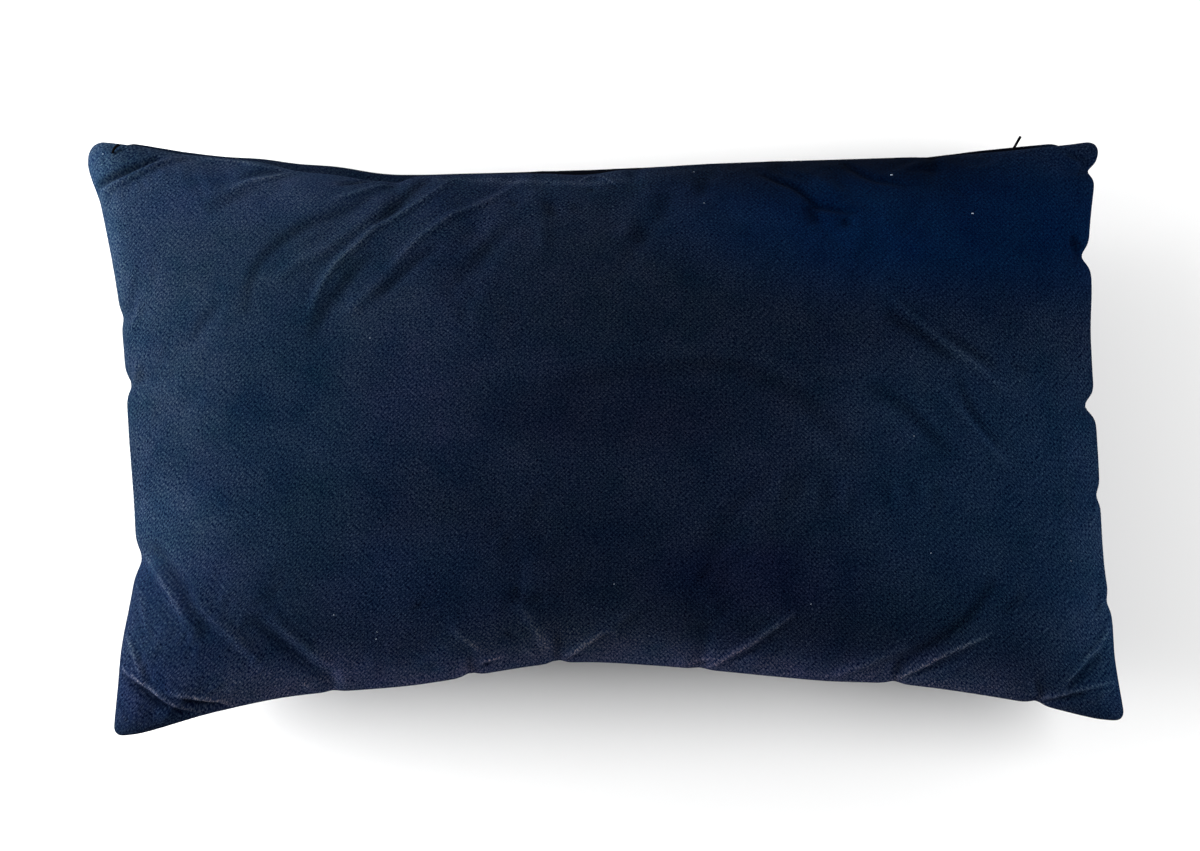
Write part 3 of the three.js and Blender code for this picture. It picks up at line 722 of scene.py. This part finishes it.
def seam_painted_light(u, v, is_back):
    """Painted light and shade: a highlight on the front's top rim, shade on the lip and closing, shade along
    the upper right rim, and sheen on the lower rim.
    """
    row, from_top, from_bottom = LOWER_RIM_SHEEN, (1 - v) * WIDTH / MM, v * WIDTH / MM
    width = row["width"] - row["narrower"] * eased(u, *row["narrows"])
    lower_rim = row["light"] * bell(from_bottom, width) * eased(np.minimum(u, 1 - u), *row["ends"])
    row = CLOSING_SHADE
    depth = row["lip"] + (row["closing"] - row["lip"]) * eased(u, *row["starts"])
    behind = 1 + lower_rim - depth * (1 - eased(from_top, *row["fades"])) * eased(1 - u, *row["ends"])
    if is_back:
        return behind
    row = RIM_LIGHT
    light = row["left"] + (row["right"] - row["left"]) * eased(u, *row["falls"])
    light *= bell(from_top, row["width"])
    row = UPPER_RIGHT_RIM_SHADE
    along = eased(u, *row["starts"]) * eased(1 - u, *row["ends"])
    light -= row["depth"] * bell(from_top, row["width"]) * along
    return np.where(v < 1, 1 + lower_rim + light, behind)


# painted light and shade as a colour factor: painted highlights come out greyer, painted shade keeps its hue
def painted_light_colour(light):
    light = light[..., None]
    return np.where(light > 1, light ** PAINTED_HIGHLIGHT_GREYER, light)


folded_front, tone = folded(front, fine)
coarse = np.meshgrid(grid_shares(SETTLE_ALONG), grid_shares(SETTLE_ACROSS))
coarse_front, coarse_back = crowns(*coarse)
fade = eased(from_edge(*fine), 0, WRINKLE_FADE)[..., None]
moves = [
    resampled(resampled(wrinkles(moved), 0, CELLS_ACROSS), 1, CELLS_ALONG) * fade
    for moved in settled((folded(coarse_front, coarse)[0], coarse_back), coarse)
]
folded_front += WRINKLE_SHARE["front"] * moves[0]
free = eased(1 - fine[1], *CLOSING_HELD)[..., None]
back += WRINKLE_SHARE["back"] * free * moves[1]
back[..., 2] = np.maximum(back[..., 2], 0)

# the front's painted light and shade: that of the folds, and that along the seam
front_painted_light = np.exp(TONE_POWER * tone) * seam_painted_light(*fine, is_back=False)
cover_data = sewn(
    "cushion_cover",
    panel(folded_front, fine, is_back=False, painted_light_and_shade=painted_light_colour(front_painted_light)),
    panel(back, fine, is_back=True, step=2, painted_light_and_shade=painted_light_colour(seam_painted_light(*fine, is_back=True))),
)
cover = placed("cushion_cover", cover_data)

# Cotton velvet: a woven ground with a short cut pile that stands up from it, dyed dark blue. It is matt
# and nearly black between its tufts, and lies in soft shades: random ones where it was brushed, and
# placed lighter and darker ones. The paler placed shades on the left and along the left, upper left and
# lower rims are painted light and painted sheen. The shades' places and reaches are in millimetres.
PILE_SHADES = {
    "navy": dict(colour="#0c1525", tufts=0.93),
    # painted light from the window on the left, over a slightly paler navy
    "navy with painted light, left": dict(colour="#111c2b", tufts=0.68, x=-225, y=70, reach_x=115, reach_y=125),
    # a painted sheen along the left rim
    "painted sheen, left rim": dict(colour="#1e2e40", tufts=0.55, x=-300, y=10, reach_x=26, reach_y=200),
    "navy, lower left": dict(colour="#0f192b", tufts=0.75, x=-220, y=-90, reach_x=80, reach_y=60),
    "dark navy, above the middle": dict(colour="#0a121f", tufts=0.9, x=30, y=80, reach_x=105, reach_y=55),
    "dark navy, below the hollow": dict(colour="#0a1124", tufts=0.9, x=82, y=-84, reach_x=58, reach_y=20),
    "violet navy, right": dict(colour="#111b2c", tufts=0.85, x=176, y=8, reach_x=54, reach_y=34),
    "lighter navy, left": dict(colour="#0f1728", tufts=0.9, x=-104, y=10, reach_x=42, reach_y=38),
    # a painted sheen along the lower left rim
    "painted sheen, lower left rim": dict(colour="#131f2f", tufts=0.7, x=-244, y=-54, reach_x=36, reach_y=25),
    "dark navy, under the arc": dict(colour="#0a1120", tufts=0.9, x=10, y=5, reach_x=75, reach_y=24),
    "dark navy, left of the middle": dict(colour="#0a1625", tufts=0.8, x=-170, y=-10, reach_x=42, reach_y=95),
    "lighter navy, below left": dict(colour="#0e192d", tufts=0.9, x=-92, y=-92, reach_x=60, reach_y=32),
    # painted light along the upper left rim
    "painted light, upper left rim": dict(colour="#131e30", tufts=0.65, x=-200, y=136, reach_x=75, reach_y=26),
    "deep blue, upper right": dict(colour="#02112a", tufts=0.55, x=195, y=118, reach_x=150, reach_y=52),
    "teal, right": dict(colour="#0c1b2f", tufts=0.8, x=225, y=-40, reach_x=100, reach_y=90),
    "teal, lower right rim": dict(colour="#122136", tufts=0.75, x=290, y=-110, reach_x=45, reach_y=65),
    # a painted sheen along the lower rim
    "painted sheen, lower rim": dict(colour="#111a32", tufts=0.85, x=0, y=-150, reach_x=260, reach_y=30),
}
SHADE_EDGE = (0.4, 1.4)
TUFT_PITCH = 1.9 * MM  # the real tufts stand 1.6 mm apart, too fine for the picture
TUFT_CONTRAST = (3.1, 2.35, 1.5)  # the tips catch a grey light, so red changes most and blue least
STREAK_WIDTH, STREAK_LENGTH = 0.65 * MM, 1.7 * MM
WAVE_REPEAT = math.pi / 10  # a wave texture at scale 1 repeats after this length
WAVE_DISTORTION, WAVE_DETAIL_SCALE = 0.8, 2
LEAN = dict(x=200 * MM, share=0.75)  # to the left the pile leans one way, to the right the other
WEAVE_SHARE = 0.26
DARKEST_TUFT = 0.3
BRUSHED_SIZE, BRUSHED_CONTRAST = 24 * MM, (1.3, 1, 0.7)
BRUSHED_TINT = (0.6, 0.25, 0.2)
BRUSHED_DETAIL, BRUSHED_ROUGHNESS = 3, 0.6
PILE_RELIEF = dict(strength=0.35, height=0.3 * MM)
PILE_GLOW = dict(weight=0.008, roughness=0.5, tint="#c8d4e8")  # of the tips, seen at a grazing angle


def linear(hex_colour):
    channels = [int(hex_colour[k:k + 2], 16) / 255 for k in (1, 3, 5)]
    return [c / 12.92 if c <= 0.04045 else ((c + 0.055) / 1.055) ** 2.4 for c in channels] + [1]


def node(tree, kind, inputs=None, **settings):
    """A new node with its settings, its input values, and links from the outputs given for inputs."""
    made = tree.nodes.new(kind)
    for name, value in settings.items():
        setattr(made, name, value)
    for name, value in (inputs or {}).items():
        socket = made.inputs[name]
        if isinstance(value, bpy.types.NodeSocket):
            tree.links.new(value, socket)
        else:
            socket.default_value = value
    return made


def new_material(name):
    material = bpy.data.materials.new(name)
    material.use_nodes = True
    material.node_tree.nodes.clear()
    return material, material.node_tree


velvet, tree = new_material("cotton_velvet_dark_blue")
cloth = node(tree, "ShaderNodeUVMap", uv_map="cloth").outputs["UV"]
place = node(tree, "ShaderNodeTexCoord").outputs["Object"]
waves, streaks = [], []
for turn in (math.radians(45), math.radians(-45)):
    turned = node(tree, "ShaderNodeMapping", {"Vector": cloth, "Rotation": (0, 0, turn)}).outputs["Vector"]
    wave = node(
        tree, "ShaderNodeTexWave",
        {"Vector": turned, "Scale": WAVE_REPEAT / TUFT_PITCH, "Distortion": WAVE_DISTORTION,
         "Detail": 1, "Detail Scale": WAVE_DETAIL_SCALE},
        wave_type="BANDS", bands_direction="X",
    )
    waves.append(wave.outputs["Fac"])
    drawn_out = node(
        tree, "ShaderNodeMapping",
        {"Vector": cloth, "Rotation": (0, 0, turn), "Scale": (STREAK_WIDTH, STREAK_LENGTH, 1)},
        vector_type="TEXTURE",
    ).outputs["Vector"]
    streak = node(tree, "ShaderNodeTexNoise", {"Vector": drawn_out, "Scale": 1, "Detail": 1})
    streaks.append(streak.outputs["Fac"])
weave = node(tree, "ShaderNodeMath", {0: waves[0], 1: waves[1]}, operation="MULTIPLY").outputs[0]
from_middle = node(tree, "ShaderNodeSeparateXYZ", {"Vector": place}).outputs["X"]
lean = node(
    tree, "ShaderNodeMapRange",
    {"Value": from_middle, "From Min": -LEAN["x"], "From Max": LEAN["x"],
     "To Min": 1 - LEAN["share"], "To Max": LEAN["share"]},
).outputs["Result"]
grain = node(tree, "ShaderNodeMix", {"Factor": lean, "A": streaks[1], "B": streaks[0]}).outputs["Result"]
grain = node(tree, "ShaderNodeMath", {0: grain, 1: 2}, operation="MULTIPLY").outputs[0]
tufts = node(
    tree, "ShaderNodeMath", {0: weave, 1: WEAVE_SHARE, 2: grain}, operation="MULTIPLY_ADD",
).outputs[0]
brushed = node(
    tree, "ShaderNodeTexNoise",
    {"Vector": place, "Scale": 1 / BRUSHED_SIZE, "Detail": BRUSHED_DETAIL, "Roughness": BRUSHED_ROUGHNESS},
)
pile, depth = linear(PILE_SHADES["navy"]["colour"]), PILE_SHADES["navy"]["tufts"]
for row in PILE_SHADES.values():
    if "x" not in row:
        continue
    spot = node(
        tree, "ShaderNodeMapping",
        {"Vector": place, "Location": (-row["x"] / row["reach_x"], -row["y"] / row["reach_y"], 0),
         "Scale": (1 / (row["reach_x"] * MM), 1 / (row["reach_y"] * MM), 0)},
    ).outputs["Vector"]
    distance = node(tree, "ShaderNodeVectorMath", {0: spot}, operation="LENGTH").outputs["Value"]
    share = node(
        tree, "ShaderNodeMapRange",
        {"Value": distance, "From Min": SHADE_EDGE[0], "From Max": SHADE_EDGE[1], "To Min": 1, "To Max": 0},
        interpolation_type="SMOOTHSTEP",
    ).outputs["Result"]
    pile = node(
        tree, "ShaderNodeMix", {"Factor": share, "A": pile, "B": linear(row["colour"])}, data_type="RGBA",
    ).outputs["Result"]
    depth = node(tree, "ShaderNodeMix", {"Factor": share, "A": depth, "B": row["tufts"]}).outputs["Result"]
mean_tuft = 1 + WEAVE_SHARE / 4  # the streaks average 1, and the product of the two waves 1/4
lighter = node(tree, "ShaderNodeMath", {0: tufts, 1: mean_tuft}, operation="SUBTRACT").outputs[0]
lighter = node(tree, "ShaderNodeMath", {0: lighter, 1: depth}, operation="MULTIPLY").outputs[0]
shade = node(
    tree, "ShaderNodeVectorMath", {0: lighter, 1: TUFT_CONTRAST, 2: (1, 1, 1)}, operation="MULTIPLY_ADD",
).outputs[0]
shade = node(tree, "ShaderNodeVectorMath", {0: shade, 1: [DARKEST_TUFT] * 3}, operation="MAXIMUM").outputs[0]
shade = node(tree, "ShaderNodeVectorMath", {0: shade, 1: shade}, operation="MULTIPLY").outputs[0]
# the painted light and shade of each point, from the panels, multiplied into the colour
painted_light_factor = node(tree, "ShaderNodeAttribute", attribute_name="painted_light_and_shade").outputs["Vector"]
tint = node(
    tree, "ShaderNodeVectorMath",
    {0: brushed.outputs["Color"], 1: BRUSHED_TINT,
     2: [1 - (light + tint) / 2 for light, tint in zip(BRUSHED_CONTRAST, BRUSHED_TINT)]},
    operation="MULTIPLY_ADD",
).outputs[0]
brushed = node(
    tree, "ShaderNodeVectorMath", {0: brushed.outputs["Fac"], 1: BRUSHED_CONTRAST, 2: tint},
    operation="MULTIPLY_ADD",
).outputs[0]
colour = pile
for factor in (shade, painted_light_factor, brushed):
    colour = node(tree, "ShaderNodeVectorMath", {0: colour, 1: factor}, operation="MULTIPLY").outputs[0]
bump = node(
    tree, "ShaderNodeBump",
    {"Strength": PILE_RELIEF["strength"], "Distance": PILE_RELIEF["height"], "Height": tufts},
).outputs["Normal"]
skin = node(
    tree, "ShaderNodeBsdfPrincipled",
    {"Base Color": colour, "Roughness": 1, "Specular IOR Level": 0, "Sheen Weight": PILE_GLOW["weight"],
     "Sheen Roughness": PILE_GLOW["roughness"], "Sheen Tint": linear(PILE_GLOW["tint"]), "Normal": bump},
)
node(tree, "ShaderNodeOutputMaterial", {"Surface": skin.outputs["BSDF"]})
cover_data.materials.append(velvet)

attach(cover, "root")
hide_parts("cushion")

# Two tails of the sewing thread, cut off where a seam was begun or ended: one at the right end of the
# closing, one on the upper left ear. It is spun black polyester, matt and darker than the velvet. Each
# route is in pixels of the photograph's frame, on the level of the cloth that it starts from.
THREADS = {
    "end of the closing": dict(
        starts_from=(1013, 154), route=((1013, 150), (1016.5, 143.5), (1020.5, 136.5)),
    ),
    "upper left ear": dict(
        starts_from=(117, 151), route=((119.5, 144.5), (115.5, 147), (113.5, 150), (112.5, 153)),
    ),
}
THREAD_DIAMETER = 1.5 * MM  # the real thread is about 0.5 mm, too fine for the picture
THREAD_RISE, THREAD_STEP = 1.5 * MM, 0.5 * MM

cover_surface = surface_of(cover_data)
tails_curve = bpy.data.curves.new("thread_tails", "CURVE")
tails_curve.dimensions = "3D"
tails_curve.bevel_depth = THREAD_DIAMETER / 2
tails_curve.bevel_resolution = 1
tails_curve.use_fill_caps = True
for row in THREADS.values():
    level = thrown_on(cover_surface, [row["starts_from"]])[0].z + THREAD_RISE
    sights = [sight_line(pixel) for pixel in row["route"]]
    route = [camera.location + sight * (level - camera.location.z) / sight.z for sight in sights]
    line = smooth_route(route, THREAD_STEP)
    spline = tails_curve.splines.new("POLY")
    spline.points.add(len(line) - 1)
    for point, place in zip(spline.points, line):
        point.co = (*place, 1)
tails_object = bpy.data.objects.new("thread_tails_curve", tails_curve)
tails_data = bpy.data.meshes.new_from_object(tails_object)
bpy.data.objects.remove(tails_object)
tails = placed("thread_tails", tails_data)
thread, tree = new_material("black_polyester_thread")
skin = node(
    tree, "ShaderNodeBsdfPrincipled",
    {"Base Color": linear("#060608"), "Roughness": 0.8, "Specular IOR Level": 0},
)
node(tree, "ShaderNodeOutputMaterial", {"Surface": skin.outputs["BSDF"]})
tails_data.materials.append(thread)
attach(tails, "root")

# Lint: a few ends of undyed cotton fibre, caught in the pile and rubbed into flat grains. They are matt
# and look pale grey on the dark cloth. Sizes are half a grain's length, in millimetres.
LINT = {
    "top": dict(size=0.85, at=((891.5, 175), (972.5, 213.5))),
    "smaller": dict(
        size=0.42,
        at=((694, 172), (704, 203), (914, 436), (862, 681), (377, 632), (376, 639), (334, 615), (614, 584),
            (811, 604), (931, 553), (1071, 561), (499, 663), (103, 154), (370, 338)),
    ),
}
LINT_FLATNESS = 0.5
lint_mesh = bmesh.new()
for row in LINT.values():
    for place in thrown_on(cover_surface, row["at"]):
        long, thin = row["size"] * MM, row["size"] * MM * LINT_FLATNESS
        lies = Matrix.Translation(place) @ Matrix.Diagonal((long, thin, thin, 1))
        bmesh.ops.create_icosphere(lint_mesh, subdivisions=1, radius=1, matrix=lies)
lint_data = finished(lint_mesh, "lint")
lint = placed("lint", lint_data)
fibre, tree = new_material("pale_cotton_lint")
skin = node(tree, "ShaderNodeBsdfPrincipled", {"Base Color": linear("#8c97a6"), "Roughness": 1})
node(tree, "ShaderNodeOutputMaterial", {"Surface": skin.outputs["BSDF"]})
lint_data.materials.append(fibre)
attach(lint, "root")

# The studio: a floor of plain uncoated paper, matt and nearly white. Two panes of a window give soft
# light from the left, a reflector lifts the right side, and the room fills in faintly from all round.
FLOOR_SIZE, PANE_SIZE = 6, 0.8
ROOM_LIGHT = 0.05
floor_mesh = bmesh.new()
bmesh.ops.create_grid(floor_mesh, x_segments=1, y_segments=1, size=FLOOR_SIZE / 2)
floor_data = finished(floor_mesh, "floor")
floor = placed("floor", floor_data)
paper, tree = new_material("matt_white_paper")
sheet = node(tree, "ShaderNodeBsdfPrincipled", {"Base Color": linear("#f2f2f2"), "Roughness": 0.9})
node(tree, "ShaderNodeOutputMaterial", {"Surface": sheet.outputs["BSDF"]})
floor_data.materials.append(paper)

LIGHTS = {
    "window, left pane": dict(place=(-1.35, 0, 0.44), watts=54),
    "window, right pane": dict(place=(-0.95, 0.95, 0.44), watts=24),
    "reflector": dict(place=(1.2, 0, 0.76), watts=20),
}
for name, row in LIGHTS.items():
    light_data = bpy.data.lights.new(name, "AREA")
    light_data.shape = "RECTANGLE"
    light_data.size = light_data.size_y = PANE_SIZE
    light_data.energy = row["watts"]
    light = placed(name, light_data)
    light.location = row["place"]
    from_cushion = Vector(row["place"]) - Vector((0, 0, SEAM_HEIGHT))
    light.rotation_euler = from_cushion.to_track_quat("Z", "Y").to_euler()

world = bpy.data.worlds.new("room")
world.use_nodes = True
world.node_tree.nodes["Background"].inputs["Color"].default_value = linear("#ffffff")
world.node_tree.nodes["Background"].inputs["Strength"].default_value = ROOM_LIGHT
bpy.context.scene.world = world
bpy.context.scene.view_settings.view_transform = "Standard"
